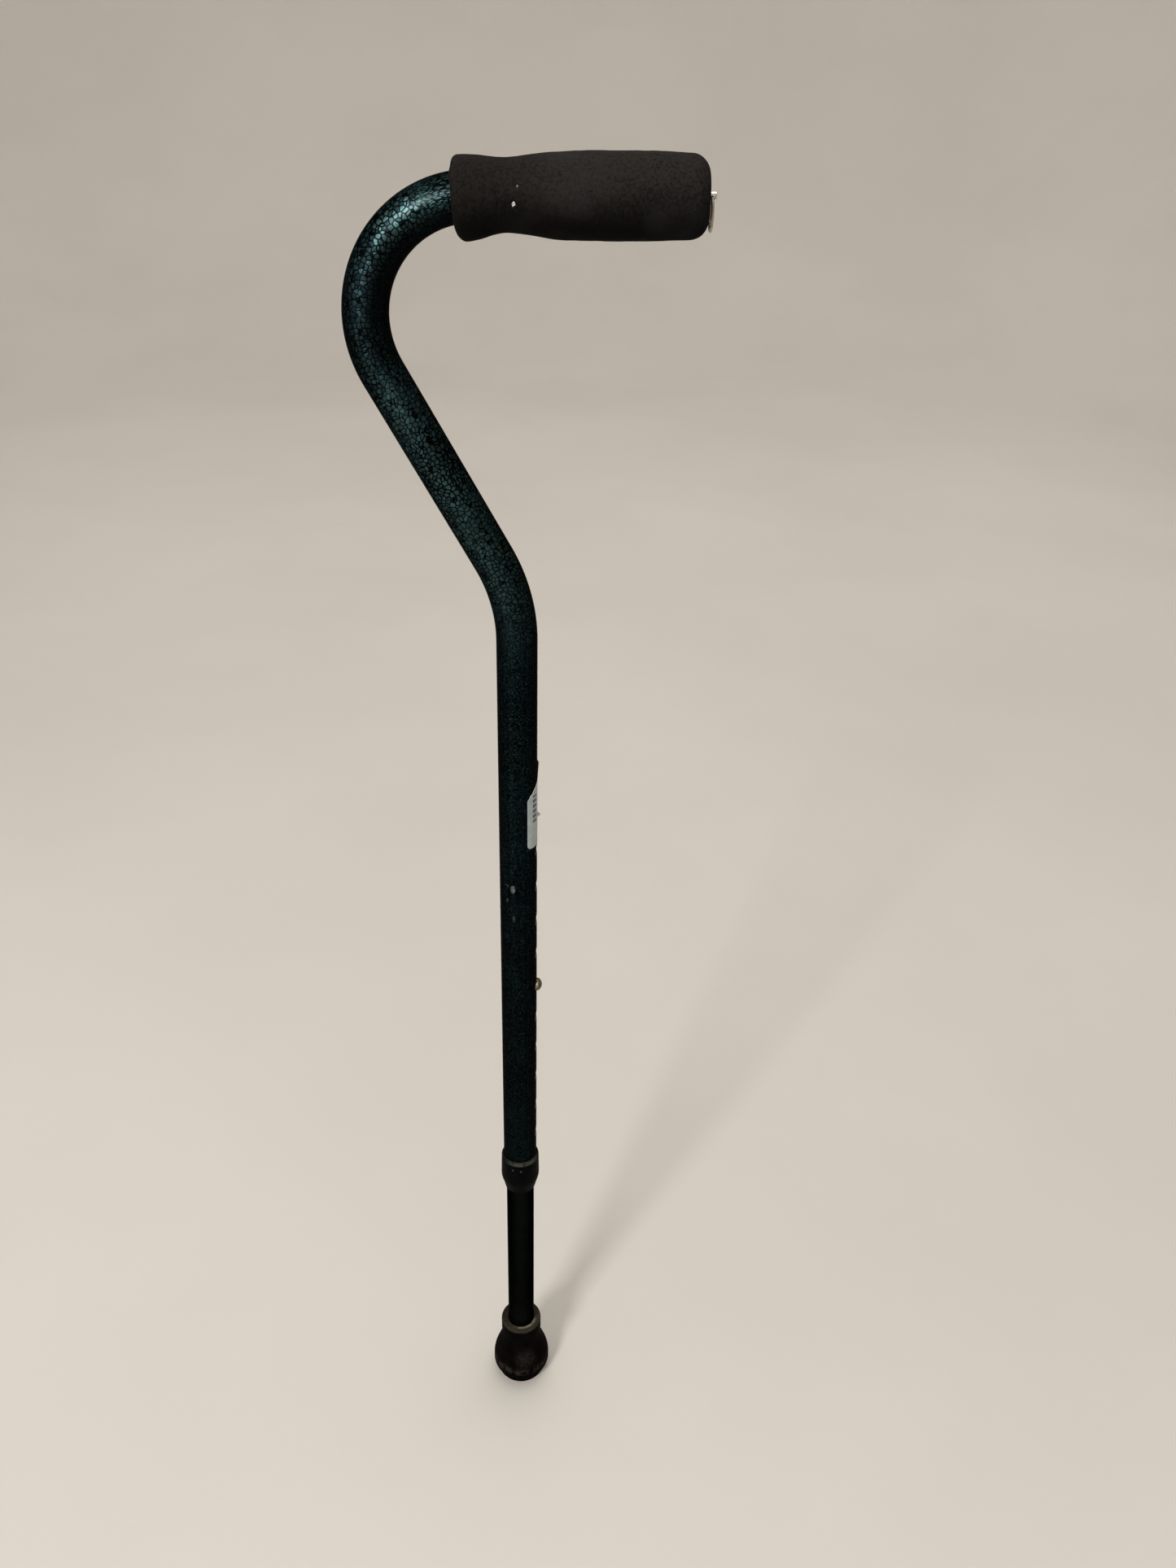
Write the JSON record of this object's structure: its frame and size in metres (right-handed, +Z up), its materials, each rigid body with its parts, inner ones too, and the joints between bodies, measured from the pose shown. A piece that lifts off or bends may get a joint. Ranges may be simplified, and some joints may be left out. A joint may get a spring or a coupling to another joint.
{
  "type": "adjustable offset walking cane",
  "caption": "Offset-handle walking cane: bent coated tube with foam grip, telescoping lower shaft with snap button and lock nut, rubber tip.",
  "frame": {"origin": "centre of the rubber tip's sole, on the axis of the two shafts, at floor level", "axes": "+Z up along the shafts, +X along the handle towards its free end, +Y completes a right-handed frame"},
  "size_m": [0.1722, 0.0414, 0.8504],
  "materials": {
    "crackle_coat": "coated: glossy crackled teal over black under a clear coat",
    "dark_coat": "coated: glossy near black with a faint teal mottle",
    "grip_foam": "matte closed-cell foam",
    "black_plastic": "moulded, worn along the rim",
    "chromed_steel": "polished",
    "label_film": "satin film",
    "natural_nylon": "moulded",
    "spring_steel": "rolled strip",
    "button_metal": "dull plated, tarnished",
    "tip_rubber": "matte, dusty along the rim"
  },
  "bodies": {
    "upper": {"upper_shaft": "crackle_coat", "foam_grip": "grip_foam", "handle_end_plug": "black_plastic", "strap_post": "chromed_steel", "weight_label": "label_film", "split_bush": "natural_nylon"},
    "ring": {"strap_ring": "chromed_steel"},
    "nut": {"lock_nut": "black_plastic"},
    "lower": {"lower_shaft": "dark_coat", "inner_glide": "natural_nylon", "snap_spring": "spring_steel", "rubber_tip": "tip_rubber", "tip_washer": "spring_steel"},
    "button": {"snap_button": "button_metal"}
  },
  "joints": [
    {"name": "height_slide", "type": "slide", "parent": "lower", "child": "upper", "axis": [0, 0, 1], "range_m": [-0.1016, 0.127], "deforming": ["snap_spring", "snap_button"]},
    {"name": "button_press", "type": "slide", "parent": "lower", "child": "button", "axis": [-1, 0, 0], "range_m": [0, 0.0047], "stiffness_N_per_m": 3000, "springref_m": -0.002, "deforming": ["snap_spring"]},
    {"name": "nut_turn", "type": "hinge", "parent": "upper", "child": "nut", "pos_m": [0, 0, 0.2155], "axis": [0, 0, -1], "range_deg": [0, 360]},
    {"name": "ring_swing", "type": "hinge", "parent": "upper", "child": "ring", "pos_m": [0.08891, 0, 0.83214], "axis": [0, -1, 0], "range_deg": [0, 180]}
  ]
}
